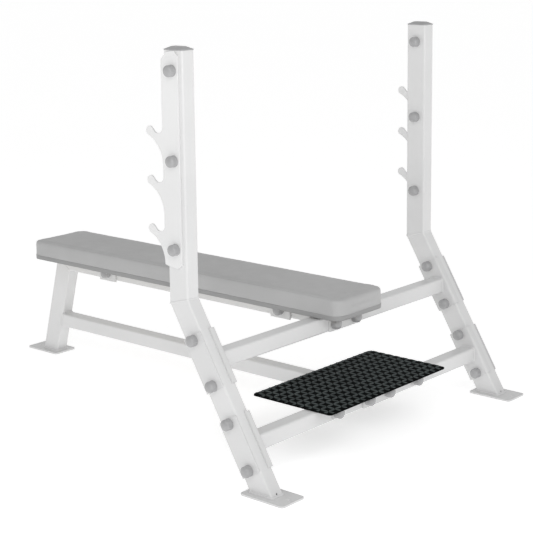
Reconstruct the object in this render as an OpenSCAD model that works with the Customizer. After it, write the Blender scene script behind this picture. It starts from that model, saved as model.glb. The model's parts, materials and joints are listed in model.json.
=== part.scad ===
// Olympic bench press: two bent uprights with hook plates, a long flat bench and a spotter's step.
// Millimetres. +Z is up, +Y runs from the head end to the foot end, X is across the bench.
// The origin is on the floor, at the middle of the whole object's outline.

/* [Uprights] */
// Distance between the centre planes of the two uprights
post_spacing = 1200; // [1100:10:1260]
// Height of the top of the upright tubes
post_height = 1270; // [1180:5:1450]
// Height at which the vertical part of an upright meets its leaning foot part
bend_height = 530; // [500:5:570]
// Lean of the foot part away from the vertical, in degrees
leg_lean = 30.8; // [26:0.2:34]
// Width of an upright tube, across the bench
post_w = 50; // [45:1:60]
// Depth of an upright tube, along the bench
post_d = 75; // [68:1:90]
// Wall of every frame tube
tube_wall = 3; // [2:0.5:4]
// Outer corner radius of every frame tube
tube_r = 6; // [4:0.5:8]

/* [Cross members] */
// Side of the square tube used for the crossbars, the bench beam and the stringer
bar_s = 50; // [42:1:52]
// Height of the centre of the upper crossbar and of the bench beam
upper_z = 362; // [345:1:380]
// Height of the centre of the lower crossbar and of the stringer
lower_z = 135; // [120:1:150]

/* [Bench frame] */
// Distance from the uprights to the corner where the beam meets the rear leg
beam_reach = 1200; // [1000:10:1300]
// Lean of the rear leg away from the vertical, in degrees
rear_lean = 15; // [8:0.5:22]

/* [Feet] */
// Thickness of the foot plates
foot_t = 6; // [4:1:10]
// Width of the foot plates
foot_w = 102; // [90:1:130]
// Length of the foot plates
foot_l = 165; // [150:1:200]
// Corner radius of the foot plates
foot_r = 12; // [5:1:20]
// Length of foot plate behind the front feet's tubes
foot_heel = 17; // [8:1:25]
// Length of foot plate in front of the rear foot's tube
rear_heel = 22; // [8:1:35]
// Diameter of the bolt-down hole in each foot plate
anchor_d = 11; // [9:0.5:14]
// Distance of the bolt-down hole from the end of the foot plate
anchor_edge = 20; // [16:1:26]

/* [Hook plates] */
// Thickness of the hook plates
hook_t = 6; // [5:0.5:10]
// Distance between the hooks
hook_pitch = 146; // [130:1:160]
// Height of the bottom of the highest hook's cradle
hook_top_z = 1027; // [1000:1:1060]
// Radius of a hook's cradle
cradle_r = 20; // [16:0.5:22]
// Radius of a hook's rounded tip
tip_r = 14; // [10:0.5:16]
// How far the centre of a tip stands out from the plate's long edge
tip_reach = 52.5; // [48:0.5:60]
// Height of the centre of a tip above the bottom of its cradle
tip_rise = 5; // [3:0.5:8]
// Radius of the hollow under a hook
underside_r = 95; // [85:1:105]
// How far a hook plate stands out past its upright towards the foot end
hook_proud = 7; // [4:0.5:12]
// Width of the straight body of a hook plate
hook_body = 67; // [58:1:74]
// Distance between the three bolts of a hook plate
hook_bolt_pitch = 262; // [230:1:280]
// Distance of the first bolt below the top of the upright
hook_bolt_drop = 58; // [45:1:80]

/* [Joint plates] */
// Thickness of the saddles on the crossbars' ends and of the crossbars' plates
plate_t = 6; // [4:0.5:8]
// Thickness of the flat plates on the outside of the legs
backing_t = 5; // [4:0.5:8]
// Length of the saddles and of the plates behind them, along the leg
saddle_l = 175; // [165:1:200]
// How far a saddle's lips wrap over the leg
lip_w = 17; // [10:1:22]
// Distance between the two bolts of a saddle
saddle_bolts = 145; // [136:1:150]
// Length of the plates where the beam and the stringer meet the crossbars
cross_plate_l = 152; // [140:1:180]
// Distance between the two bolts of such a plate
cross_bolts = 106; // [96:1:116]

/* [Bench pad] */
// Length of the pad
pad_l = 1465; // [1250:5:1500]
// Width of the pad
pad_w = 250; // [236:1:300]
// Height of the pad from its underside to its top
pad_h = 67; // [50:1:90]
// Corner radius of the pad, seen from above
pad_r = 36; // [20:1:60]
// Distance from the upper crossbar's centre to the head end of the pad
pad_overhang = 104; // [80:1:140]
// Thickness of the pad's plywood board
board_t = 15; // [12:1:18]
// How far the cover and foam wrap past the edge of the board
board_inset = 3; // [2:0.5:6]
// Width of the pad brackets across the bench
bracket_w = 180; // [160:2:220]
// Length of the pad brackets along the bench
bracket_l = 84; // [70:1:110]
// Distance from the uprights to the head bracket
head_bracket_y = 115; // [80:5:200]
// Distance from the uprights to the foot bracket
foot_bracket_y = 950; // [700:10:980]
// Distance between the pad screws of a bracket, across the bench
screw_x = 130; // [124:1:136]
// Distance between the pad screws of a bracket, along the bench
screw_y = 54; // [40:1:60]

/* [Step] */
// Width of the step
step_w = 615; // [500:5:640]
// Depth of the step
step_d = 315; // [280:5:340]
// Thickness of the step's plate
step_t = 5; // [3:0.5:8]
// Corner radius of the step
step_r = 12; // [5:1:20]
// How far the step stands out in front of the lower crossbar
step_proud = 57; // [50:1:70]
// Distance between the two bolts that hold the step's brackets
step_bolts = 422; // [380:2:440]
// Width of a step bracket
step_bracket_w = 38; // [36:1:50]

/* [Fasteners] */
// Thread diameter of the frame bolts
bolt_d = 12; // [10:1:14]
// Width across the flats of the bolt heads and nuts
hex_af = 18; // [16:0.5:21]
// Height of a bolt head
head_h = 7.5; // [6:0.5:9]
// Height of a nut
nut_h = 10; // [8:0.5:12]
// Outer diameter of the washers
washer_d = 24; // [22:0.5:28]
// Thickness of the washers
washer_t = 2.5; // [1.5:0.5:3]
// Outer diameter of the plastic bolt caps
cap_d = 35; // [33:0.5:38]
// Height of the plastic bolt caps
cap_h = 25; // [23:0.5:28]
// Wall of the plastic bolt caps
cap_wall = 2; // [1.5:0.5:2.5]
// Thread diameter of the pad screws
screw_d = 8; // [6:1:8]

/* [Hidden] */
$fn = 64;

// Finishes
frame_white = [0.90, 0.90, 0.90];
plate_white = [0.84, 0.84, 0.84];
hook_white = [0.94, 0.94, 0.94];
cap_grey = [0.62, 0.62, 0.62];
pad_grey = [0.66, 0.66, 0.66];
board_brown = [0.72, 0.58, 0.40];
step_black = [0.12, 0.13, 0.13];
zinc = [0.75, 0.76, 0.78];

// Clearances
bolt_play = 1;      // a bolt's hole is this much wider than its shank
thread_play = 0.1;  // a nut's bore is this much wider than its thread
slip = 0.3;         // gap beside a tube that a bracket wraps
plug_play = 0.5;    // gap round a plug inside its tube
seat_play = 0.2;    // gap round an insert in the board
reach = 60;         // extra length of a tube, before its mitre cuts it off
over = 1;           // cuts run past the faces they go through by this much
crossing = 0.1;     // round cuts cross the lines that they blend into by this much

// Leg geometry: a point on a leg's centre line, by height or by distance from the bend
function leg_dy(z) = (bend_height - z) * tan(leg_lean);
function along_leg(z) = (bend_height - z) / cos(leg_lean);
function rear_dy(z) = (upper_z - z) * tan(rear_lean);

// Places along the bench, first from the uprights and then in the object's own frame
leg_foot_half = post_d / 2 / cos(leg_lean);
rear_foot_half = post_d / 2 / cos(rear_lean);
front_end = -leg_dy(foot_t) + leg_foot_half + foot_heel - foot_l;
rear_end = beam_reach + rear_dy(foot_t) - rear_foot_half - rear_heel + foot_l;
post_y = -(front_end + rear_end) / 2;
front_foot_y = post_y + front_end;
rear_foot_y = post_y + rear_end - foot_l;
upper_y = post_y - leg_dy(upper_z);
lower_y = post_y - leg_dy(lower_z);
rear_bend_y = post_y + beam_reach;
leg_length = along_leg(foot_t) + leg_foot_half;
rear_leg_length = (upper_z - foot_t) / cos(rear_lean) + rear_foot_half;

// Places across the bench
post_x = post_spacing / 2;
outer_face = post_x + post_w / 2;
inner_face = post_x - post_w / 2;
crossbar_half = inner_face - plate_t;

// Heights
beam_top = upper_z + bar_s / 2;
pad_z = beam_top + plate_t;
step_z = lower_z + bar_s / 2;
hook_bolt_zs = [for (i = [0:2]) post_height - hook_bolt_drop - i * hook_bolt_pitch];
hook_zs = [for (i = [0:2]) hook_top_z - i * hook_pitch];

// Hook plates: the hollow under a hook touches the plate's long edge and the hook's tip
hook_top_gap = 1;   // the plate ends this far below the top of the upright
hook_heel = 8;      // plate below the lowest hook
hook_bolt_room = 57; // plate below its lowest bolt
under_drop = sqrt(pow(underside_r + tip_r - crossing, 2) - pow(underside_r - crossing - tip_reach, 2));
hook_edge_y = post_y + post_d / 2 + hook_proud;
hook_high_z = post_height - hook_top_gap;
hook_low_z = min(hook_zs[2] + tip_rise - under_drop - hook_heel, hook_bolt_zs[2] - hook_bolt_room);

// Pad and its screws
pad_mid_y = upper_y - pad_overhang + pad_l / 2;
tee_wall = 1.2;     // wall of a tee nut's barrel
tee_barrel_d = screw_d + 2 * tee_wall;
tee_flange_d = 22;
tee_flange_t = 1.5;
tee_l = 10;

// Joint plates
plate_r = 4;        // corner radius of the flat plates
bracket_r = 8;      // corner radius of the pad brackets

// Bolts
hole_d = bolt_d + bolt_play;
nut_bore = bolt_d + thread_play;
thread_out = 4;     // thread that shows past a nut

// ---------- outlines and common shapes ----------

// A rectangle with round corners, on its centre
module round_rect(w, d, r) {
    square([w - 2 * r, d], center = true);
    square([w, d - 2 * r], center = true);
    for (x = [-1, 1], y = [-1, 1])
        translate([x * (w / 2 - r), y * (d / 2 - r)])
            circle(r);
}

// A tube wall's cross-section
module tube_outline(w, d) {
    difference() {
        round_rect(w, d, tube_r);
        round_rect(w - 2 * tube_wall, d - 2 * tube_wall, max(tube_r - tube_wall, 0.5));
    }
}

// Lays a Y-Z outline in a plane across the bench, from x to x + t
module side_sheet(x, t) {
    translate([x, 0, 0])
        rotate([90, 0, 90])
            linear_extrude(t)
                children();
}

// Puts an upright X-Z outline in a plane along the bench, from y to y + t
module front_sheet(y, t) {
    translate([0, y + t, 0])
        rotate([90, 0, 0])
            linear_extrude(t)
                children();
}

// A cylinder along X between two places
module x_rod(x0, x1, y, z, d) {
    translate([x0, y, z])
        rotate([0, 90, 0])
            cylinder(h = x1 - x0, d = d);
}

// A cylinder along Y between two places
module y_rod(y0, y1, x, z, d) {
    translate([x, y0, z])
        rotate([-90, 0, 0])
            cylinder(h = y1 - y0, d = d);
}

// Everything above (side = 1) or below (side = -1) the left and right uprights' mitres
module mitre_side(side) {
    span = 2 * post_height;
    translate([0, post_y, bend_height])
        rotate([-leg_lean / 2, 0, 0])
            translate([-span / 2, -span / 2, side > 0 ? 0 : -span])
                cube(span);
}

// Everything on the beam's side (side = 1) or on the leg's side (side = -1) of the rear mitre,
// which runs from the inner corner of the two tubes to their outer corner
module rear_mitre_side(side) {
    span = 2 * post_height;
    translate([0, rear_bend_y, upper_z])
        rotate([atan2(bar_s, 2 * rear_foot_half - bar_s * tan(rear_lean)), 0, 0])
            translate([-span / 2, -span / 2, side > 0 ? 0 : -span])
                cube(span);
}

// Children drawn with +Z down the left leg's centre line, from the bend
module down_left_leg() {
    translate([-post_x, post_y, bend_height])
        rotate([180 - leg_lean, 0, 0])
            children();
}

// Children drawn with +Z down the rear leg's centre line, from the rear bend
module down_rear_leg() {
    translate([0, rear_bend_y, upper_z])
        rotate([180 + rear_lean, 0, 0])
            children();
}

// ---------- fastener shapes, each with +Z pointing out of the face it sits on ----------

// A hexagon prism
module hexagon(h, af) {
    cylinder(h = h, d = af / cos(30), $fn = 6);
}

module washer() {
    difference() {
        cylinder(h = washer_t, d = washer_d);
        translate([0, 0, -over])
            cylinder(h = washer_t + 2 * over, d = hole_d);
    }
}

// A bolt with its head outside the face at z = 0, through a stack that is grip thick
module bolt(grip) {
    translate([0, 0, washer_t])
        hexagon(head_h, hex_af);
    end = grip + washer_t + nut_h + thread_out;
    translate([0, 0, -end])
        cylinder(h = end + washer_t + head_h / 2, d = bolt_d);
}

module nut() {
    translate([0, 0, washer_t])
        difference() {
            hexagon(nut_h, hex_af);
            translate([0, 0, -over])
                cylinder(h = nut_h + 2 * over, d = nut_bore);
        }
}

// A hollow plastic cap with a domed end
module bolt_cap() {
    steps = 8;
    skirt = 16;
    out_r = cap_d / 2;
    in_r = out_r - cap_wall;
    out_h = cap_h - skirt;
    in_h = out_h - cap_wall;
    outside = [for (i = [0:steps]) [out_r * cos(90 * i / steps), skirt + out_h * sin(90 * i / steps)]];
    inside = [for (i = [steps:-1:0]) [in_r * cos(90 * i / steps), skirt + in_h * sin(90 * i / steps)]];
    rotate_extrude()
        polygon(concat([[in_r, 0], [out_r, 0]], outside, inside));
}

// Children at the heads (end = 1) or nuts (end = -1) of the left hook plate's bolts
module at_left_hook_bolts(end) {
    x = end > 0 ? -outer_face - hook_t : -inner_face;
    for (z = hook_bolt_zs)
        translate([x, post_y, z])
            rotate([0, -90 * end, 0])
                children();
}

// Children at the heads (end = 1) or nuts (end = -1) of the left leg's bolts
module at_left_leg_bolts(end) {
    x = end > 0 ? -post_w / 2 - backing_t : post_w / 2 + plate_t;
    for (bar_z = [upper_z, lower_z], k = [-1, 1])
        down_left_leg()
            translate([x, 0, along_leg(bar_z) + k * saddle_bolts / 2])
                rotate([0, -90 * end, 0])
                    children();
}

// Children at the heads (end = 1) or nuts (end = -1) of the bolts through a crossbar
module at_bar_bolts(y, z, spacing, head_t, nut_t, end) {
    face = end > 0 ? y - bar_s / 2 - head_t : y + bar_s / 2 + nut_t;
    for (x = [-1, 1] * spacing / 2)
        translate([x, face, z])
            rotate([90 * end, 0, 0])
                children();
}

// Children at one end of all six bolts through the crossbars
module at_crossbar_bolts(end) {
    at_bar_bolts(upper_y, upper_z, cross_bolts, plate_t, plate_t, end)
        children();
    at_bar_bolts(lower_y, lower_z, cross_bolts, plate_t, plate_t, end)
        children();
    at_bar_bolts(lower_y, lower_z, step_bolts, step_t, 0, end)
        children();
}

// Children at the heads (end = 1) or nuts (end = -1) of the pad brackets' bolts
module at_pad_bracket_bolts(end) {
    for (y = [head_bracket_y, foot_bracket_y])
        translate([-end * (bar_s / 2 + slip + plate_t), post_y + y, upper_z])
            rotate([0, -90 * end, 0])
                children();
}

// ---------- uprights ----------

module left_post() {
    low = bend_height - reach;
    color(frame_white)
        difference() {
            intersection() {
                translate([-post_x, post_y, low])
                    linear_extrude(post_height - low)
                        tube_outline(post_w, post_d);
                mitre_side(1);
            }
            for (z = hook_bolt_zs)
                x_rod(-outer_face - over, -inner_face + over, post_y, z, hole_d);
        }
}

module right_post() {
    mirror([1, 0, 0])
        left_post();
}

// The leaning lower part of an upright, with a drain hole just above its foot plate
module left_leg() {
    drain_d = 6;
    drain_up = 8;
    color(frame_white)
        difference() {
            intersection() {
                down_left_leg()
                    translate([0, 0, -reach])
                        linear_extrude(leg_length + reach)
                            tube_outline(post_w, post_d);
                mitre_side(-1);
                translate([-2 * post_x, post_y - 2 * post_height, foot_t])
                    cube([2 * post_x, 3 * post_height, 2 * post_height]);
            }
            for (bar_z = [upper_z, lower_z], k = [-1, 1])
                down_left_leg()
                    translate([0, 0, along_leg(bar_z) + k * saddle_bolts / 2])
                        x_rod(-post_w, post_w, 0, 0, hole_d);
            down_left_leg()
                translate([0, 0, along_leg(foot_t) + leg_foot_half * sin(leg_lean) - drain_up])
                    y_rod(post_d / 2 - 2 * tube_wall, post_d, 0, 0, drain_d);
        }
}

module right_leg() {
    mirror([1, 0, 0])
        left_leg();
}

// A foot plate from y0 towards +Y, with its bolt-down hole near one end
module foot_plate(x, y0, hole_y) {
    color(plate_white)
        difference() {
            translate([x, y0 + foot_l / 2, 0])
                linear_extrude(foot_t)
                    round_rect(foot_w, foot_l, foot_r);
            translate([x, hole_y, -over])
                cylinder(h = foot_t + 2 * over, d = anchor_d);
        }
}

module left_foot_plate() {
    foot_plate(-post_x, front_foot_y, front_foot_y + anchor_edge);
}

module right_foot_plate() {
    foot_plate(post_x, front_foot_y, front_foot_y + anchor_edge);
}

module rear_foot_plate() {
    foot_plate(0, rear_foot_y, rear_foot_y + foot_l - anchor_edge);
}

// A plastic cap: a low hipped top on a rim that just covers the tube, and a plug inside it
module post_cap(x) {
    rim_over = 1;
    rim_t = 3;
    crown_t = 7.5;
    crown_w = 22;
    crown_d = 44;
    crown_r = 5;
    layer = 0.5;
    plug_l = 22;
    plug_w = post_w - 2 * tube_wall - 2 * plug_play;
    plug_d = post_d - 2 * tube_wall - 2 * plug_play;
    color(cap_grey)
        translate([x, post_y, post_height]) {
            linear_extrude(rim_t)
                round_rect(post_w + 2 * rim_over, post_d + 2 * rim_over, tube_r);
            hull() {
                translate([0, 0, rim_t - layer])
                    linear_extrude(layer)
                        round_rect(post_w, post_d, tube_r, $fn = 24);
                translate([0, 0, rim_t + crown_t - layer])
                    linear_extrude(layer)
                        round_rect(crown_w, crown_d, crown_r, $fn = 24);
            }
            translate([0, 0, -plug_l])
                linear_extrude(plug_l)
                    round_rect(plug_w, plug_d, max(tube_r - tube_wall - plug_play, 0.5));
        }
}

module left_post_cap() {
    post_cap(-post_x);
}

module right_post_cap() {
    post_cap(post_x);
}

// ---------- hook plates ----------

// One hook, in a frame whose origin is where the plate's long edge passes the cradle's bottom
module hook_outline() {
    inside = 4;
    cradle_y = cradle_r - crossing;
    under_y = underside_r - crossing;
    under_z = tip_rise - under_drop;
    slope = [cradle_y, cradle_r] + (cradle_r - crossing) * [cos(45), -sin(45)];
    shoulder = [tip_reach, tip_rise] - (tip_r - crossing) * [cos(45), -sin(45)];
    share = underside_r / (underside_r + tip_r - crossing);
    meet_y = under_y + share * (tip_reach - under_y);
    meet_z = under_z + share * under_drop;
    difference() {
        polygon([
            [-inside, under_z], [meet_y, under_z], [meet_y, meet_z + tip_r / 4], [tip_reach, tip_rise],
            shoulder, slope, [slope.x, cradle_r], [-inside, cradle_r]
        ]);
        translate([cradle_y, cradle_r])
            circle(cradle_r, $fn = 96);
        translate([under_y, under_z])
            circle(underside_r, $fn = 240);
    }
    translate([tip_reach, tip_rise])
        circle(tip_r);
}

// The plate's body: a long strip whose four corners are cut away
module hook_body_outline(y0, y1, z0, z1) {
    corner = 14;
    low_rise = 8;
    high_drop = 4;
    high_cut = 22;
    polygon([
        [y0, z0 + corner], [y0 + corner, z0], [y1 - corner, z0 + low_rise / 2], [y1, z0 + low_rise],
        [y1, z1 - high_cut - high_drop], [y1 - high_cut, z1 - high_drop], [y0 + corner, z1], [y0, z1 - corner]
    ]);
}

module left_hook_plate() {
    color(hook_white)
        difference() {
            side_sheet(-outer_face - hook_t, hook_t) {
                hook_body_outline(hook_edge_y - hook_body, hook_edge_y, hook_low_z, hook_high_z);
                for (z = hook_zs)
                    translate([hook_edge_y, z])
                        hook_outline();
            }
            for (z = hook_bolt_zs)
                x_rod(-outer_face - hook_t - over, -outer_face + over, post_y, z, hole_d);
        }
}

module right_hook_plate() {
    mirror([1, 0, 0])
        left_hook_plate();
}

// ---------- crossbars, with the saddles that hug the legs ----------

// A square tube across the bench between the saddles
module crossbar(y, z, bolt_spacings) {
    color(frame_white)
        difference() {
            side_sheet(-crossbar_half, 2 * crossbar_half)
                translate([y, z])
                    tube_outline(bar_s, bar_s);
            for (spacing = bolt_spacings, side = [-1, 1])
                y_rod(y - bar_s, y + bar_s, side * spacing / 2, z, hole_d);
        }
}

module upper_crossbar() {
    crossbar(upper_y, upper_z, [cross_bolts]);
}

module lower_crossbar() {
    crossbar(lower_y, lower_z, [cross_bolts, step_bolts]);
}

// A bent channel on the inner side of the left leg, with lips over the leg's front and back
module left_saddle(bar_z) {
    bend_r = 9;
    depth = post_d + 2 * slip;
    across = lip_w + plate_t;
    color(plate_white)
        down_left_leg()
            translate([post_w / 2, 0, along_leg(bar_z) - saddle_l / 2])
                difference() {
                    linear_extrude(saddle_l)
                        difference() {
                            union() {
                                translate([-lip_w, -depth / 2 - plate_t])
                                    square([across - bend_r, depth + 2 * plate_t]);
                                translate([-lip_w, -depth / 2 - plate_t + bend_r])
                                    square([across, depth + 2 * plate_t - 2 * bend_r]);
                                for (side = [-1, 1])
                                    translate([plate_t - bend_r, side * (depth / 2 + plate_t - bend_r)])
                                        circle(bend_r);
                            }
                            translate([-lip_w - over, -depth / 2])
                                square([lip_w + over, depth]);
                        }
                    for (k = [-1, 1])
                        translate([0, 0, saddle_l / 2 + k * saddle_bolts / 2])
                            x_rod(-over, plate_t + over, 0, 0, hole_d);
                }
}

module upper_left_saddle() {
    left_saddle(upper_z);
}

module lower_left_saddle() {
    left_saddle(lower_z);
}

module upper_right_saddle() {
    mirror([1, 0, 0])
        left_saddle(upper_z);
}

module lower_right_saddle() {
    mirror([1, 0, 0])
        left_saddle(lower_z);
}

// The flat plate under the bolt heads on the outer side of the left leg
module left_backing(bar_z) {
    color(plate_white)
        down_left_leg()
            translate([-post_w / 2 - backing_t, 0, along_leg(bar_z)])
                difference() {
                    side_sheet(0, backing_t)
                        round_rect(post_d, saddle_l, plate_r);
                    for (k = [-1, 1])
                        translate([0, 0, k * saddle_bolts / 2])
                            x_rod(-over, backing_t + over, 0, 0, hole_d);
                }
}

module upper_left_backing() {
    left_backing(upper_z);
}

module lower_left_backing() {
    left_backing(lower_z);
}

module upper_right_backing() {
    mirror([1, 0, 0])
        left_backing(upper_z);
}

module lower_right_backing() {
    mirror([1, 0, 0])
        left_backing(lower_z);
}

// ---------- bench frame ----------

module bench_beam() {
    start = upper_y + bar_s / 2 + plate_t;
    color(frame_white)
        difference() {
            intersection() {
                translate([0, 0, upper_z])
                    front_sheet(start, rear_bend_y + reach - start)
                        tube_outline(bar_s, bar_s);
                rear_mitre_side(1);
            }
            for (y = [head_bracket_y, foot_bracket_y])
                x_rod(-bar_s, bar_s, post_y + y, upper_z, hole_d);
        }
}

// The leg is as wide as the beam and as deep as the uprights
module rear_leg() {
    color(frame_white)
        intersection() {
            down_rear_leg()
                translate([0, 0, -2 * reach])
                    linear_extrude(rear_leg_length + 2 * reach)
                        tube_outline(bar_s, post_d);
            rear_mitre_side(-1);
            translate([-post_x, post_y, foot_t])
                cube([2 * post_x, 2 * beam_reach, post_height]);
        }
}

module stringer() {
    start = lower_y + bar_s / 2 + plate_t;
    span = 2 * post_height;
    color(frame_white)
        difference() {
            translate([0, 0, lower_z])
                front_sheet(start, rear_bend_y + rear_dy(lower_z) + reach - start)
                    tube_outline(bar_s, bar_s);
            down_rear_leg()
                translate([-span / 2, -span + post_d / 2, -span / 2])
                    cube(span);
        }
}

// A flat plate with two bolt holes, on the face of a crossbar that starts at y
module cross_plate(y, z) {
    color(plate_white)
        difference() {
            front_sheet(y, plate_t)
                translate([0, z])
                    round_rect(cross_plate_l, bar_s, plate_r);
            for (side = [-1, 1])
                y_rod(y - over, y + plate_t + over, side * cross_bolts / 2, z, hole_d);
        }
}

module beam_end_plate() {
    cross_plate(upper_y + bar_s / 2, upper_z);
}

module stringer_end_plate() {
    cross_plate(lower_y + bar_s / 2, lower_z);
}

module upper_front_plate() {
    cross_plate(upper_y - bar_s / 2 - plate_t, upper_z);
}

module lower_front_plate() {
    cross_plate(lower_y - bar_s / 2 - plate_t, lower_z);
}

// ---------- bench pad ----------

// A plate under the pad with two cheeks that straddle the beam
module pad_bracket(y) {
    past_beam = 4;
    cheek_drop = bar_s + past_beam;
    color(plate_white)
        difference() {
            union() {
                translate([0, y, beam_top])
                    linear_extrude(plate_t)
                        round_rect(bracket_w, bracket_l, bracket_r);
                for (x = [-bar_s / 2 - slip - plate_t, bar_s / 2 + slip])
                    translate([x, y - bracket_l / 2, beam_top - cheek_drop])
                        cube([plate_t, bracket_l, cheek_drop + plate_t / 2]);
            }
            x_rod(-bar_s, bar_s, y, upper_z, hole_d);
            for (sx = [-1, 1], sy = [-1, 1])
                translate([sx * screw_x / 2, y + sy * screw_y / 2, beam_top - over])
                    cylinder(h = plate_t + 2 * over, d = screw_d + bolt_play);
        }
}

module head_pad_bracket() {
    pad_bracket(post_y + head_bracket_y);
}

module foot_pad_bracket() {
    pad_bracket(post_y + foot_bracket_y);
}

// Children at each of the eight pad screws, on the pad's underside
module at_pad_screws() {
    for (y = [head_bracket_y, foot_bracket_y], sx = [-1, 1], sy = [-1, 1])
        translate([sx * screw_x / 2, post_y + y + sy * screw_y / 2, pad_z])
            children();
}

module pad_board() {
    color(board_brown)
        difference() {
            translate([0, pad_mid_y, pad_z])
                linear_extrude(board_t)
                    round_rect(pad_w - 2 * board_inset, pad_l - 2 * board_inset, pad_r - board_inset);
            at_pad_screws() {
                translate([0, 0, -over])
                    cylinder(h = board_t + 2 * over, d = tee_barrel_d + seat_play);
                translate([0, 0, board_t - tee_flange_t - seat_play])
                    cylinder(h = board_t, d = tee_flange_d + seat_play);
            }
        }
}

// Foam and cover together: a block that wraps over the edges of the board
module pad_cushion() {
    color(pad_grey)
        difference() {
            translate([0, pad_mid_y, pad_z])
                linear_extrude(pad_h)
                    round_rect(pad_w, pad_l, pad_r);
            translate([0, pad_mid_y, pad_z - over])
                linear_extrude(board_t + over)
                    round_rect(pad_w - 2 * board_inset, pad_l - 2 * board_inset, pad_r - board_inset);
        }
}

// Hexagon screws with washers, up through the brackets into the tee nuts
module pad_screws() {
    screw_washer_t = 1.6;
    screw_head_h = 5.3;
    screw_af = 13;
    sunk = 1;
    end_gap = 1;
    color(zinc)
        at_pad_screws() {
            translate([0, 0, -plate_t - screw_washer_t])
                cylinder(h = screw_washer_t, d = 2 * screw_d);
            translate([0, 0, -plate_t - screw_washer_t - screw_head_h])
                hexagon(screw_head_h, screw_af);
            translate([0, 0, -plate_t - screw_washer_t - sunk])
                cylinder(h = board_t + plate_t + screw_washer_t + sunk - end_gap, d = screw_d);
        }
}

module pad_tee_nuts() {
    color(zinc)
        at_pad_screws()
            translate([0, 0, board_t - seat_play])
                difference() {
                    union() {
                        translate([0, 0, -tee_flange_t])
                            cylinder(h = tee_flange_t, d = tee_flange_d);
                        translate([0, 0, -tee_l])
                            cylinder(h = tee_l, d = tee_barrel_d);
                    }
                    translate([0, 0, -tee_l - over])
                        cylinder(h = tee_l + 2 * over, d = screw_d + thread_play);
                }
}

// ---------- step ----------

module step_plate() {
    front = lower_y - bar_s / 2 - step_proud;
    color(step_black)
        translate([0, front + step_d / 2, step_z])
            linear_extrude(step_t)
                round_rect(step_w, step_d, step_r);
}

// An angle: bolted to the front of the crossbar and welded under the step
module left_step_bracket() {
    end_gap = 8;
    drop = bar_s - end_gap;
    shelf = step_proud - end_gap;
    x = -step_bolts / 2;
    face_y = lower_y - bar_s / 2;
    color(plate_white)
        difference() {
            union() {
                translate([x - step_bracket_w / 2, face_y - step_t, step_z - drop])
                    cube([step_bracket_w, step_t, drop]);
                translate([x - step_bracket_w / 2, face_y - shelf, step_z - step_t])
                    cube([step_bracket_w, shelf, step_t]);
            }
            y_rod(face_y - step_t - over, face_y + over, x, lower_z, hole_d);
        }
}

module right_step_bracket() {
    mirror([1, 0, 0])
        left_step_bracket();
}

// ---------- fasteners ----------

module left_hook_bolts() {
    color(zinc)
        at_left_hook_bolts(1)
            bolt(post_w + hook_t);
}

module right_hook_bolts() {
    mirror([1, 0, 0])
        left_hook_bolts();
}

module hook_washers() {
    color(zinc)
        for (side = [0, 1], end = [1, -1])
            mirror([side, 0, 0])
                at_left_hook_bolts(end)
                    washer();
}

module hook_nuts() {
    color(zinc)
        for (side = [0, 1])
            mirror([side, 0, 0])
                at_left_hook_bolts(-1)
                    nut();
}

module left_hook_caps() {
    color(cap_grey)
        for (end = [1, -1])
            at_left_hook_bolts(end)
                bolt_cap();
}

module right_hook_caps() {
    mirror([1, 0, 0])
        left_hook_caps();
}

module left_leg_bolts() {
    color(zinc)
        at_left_leg_bolts(1)
            bolt(post_w + backing_t + plate_t);
}

module right_leg_bolts() {
    mirror([1, 0, 0])
        left_leg_bolts();
}

module left_leg_washers() {
    color(zinc)
        for (end = [1, -1])
            at_left_leg_bolts(end)
                washer();
}

module right_leg_washers() {
    mirror([1, 0, 0])
        left_leg_washers();
}

module left_leg_nuts() {
    color(zinc)
        at_left_leg_bolts(-1)
            nut();
}

module right_leg_nuts() {
    mirror([1, 0, 0])
        left_leg_nuts();
}

module left_leg_caps() {
    color(cap_grey)
        for (end = [1, -1])
            at_left_leg_bolts(end)
                bolt_cap();
}

module right_leg_caps() {
    mirror([1, 0, 0])
        left_leg_caps();
}

module crossbar_bolts() {
    color(zinc) {
        at_bar_bolts(upper_y, upper_z, cross_bolts, plate_t, plate_t, 1)
            bolt(bar_s + 2 * plate_t);
        at_bar_bolts(lower_y, lower_z, cross_bolts, plate_t, plate_t, 1)
            bolt(bar_s + 2 * plate_t);
        at_bar_bolts(lower_y, lower_z, step_bolts, step_t, 0, 1)
            bolt(bar_s + step_t);
    }
}

module crossbar_washers() {
    color(zinc)
        for (end = [1, -1])
            at_crossbar_bolts(end)
                washer();
}

module crossbar_nuts() {
    color(zinc)
        at_crossbar_bolts(-1)
            nut();
}

module crossbar_caps() {
    color(cap_grey)
        for (end = [1, -1])
            at_crossbar_bolts(end)
                bolt_cap();
}

module pad_bracket_bolts() {
    color(zinc)
        at_pad_bracket_bolts(1)
            bolt(bar_s + 2 * slip + 2 * plate_t);
}

module pad_bracket_washers() {
    color(zinc)
        for (end = [1, -1])
            at_pad_bracket_bolts(end)
                washer();
}

module pad_bracket_nuts() {
    color(zinc)
        at_pad_bracket_bolts(-1)
            nut();
}

module pad_bracket_caps() {
    color(cap_grey)
        for (end = [1, -1])
            at_pad_bracket_bolts(end)
                bolt_cap();
}

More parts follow.
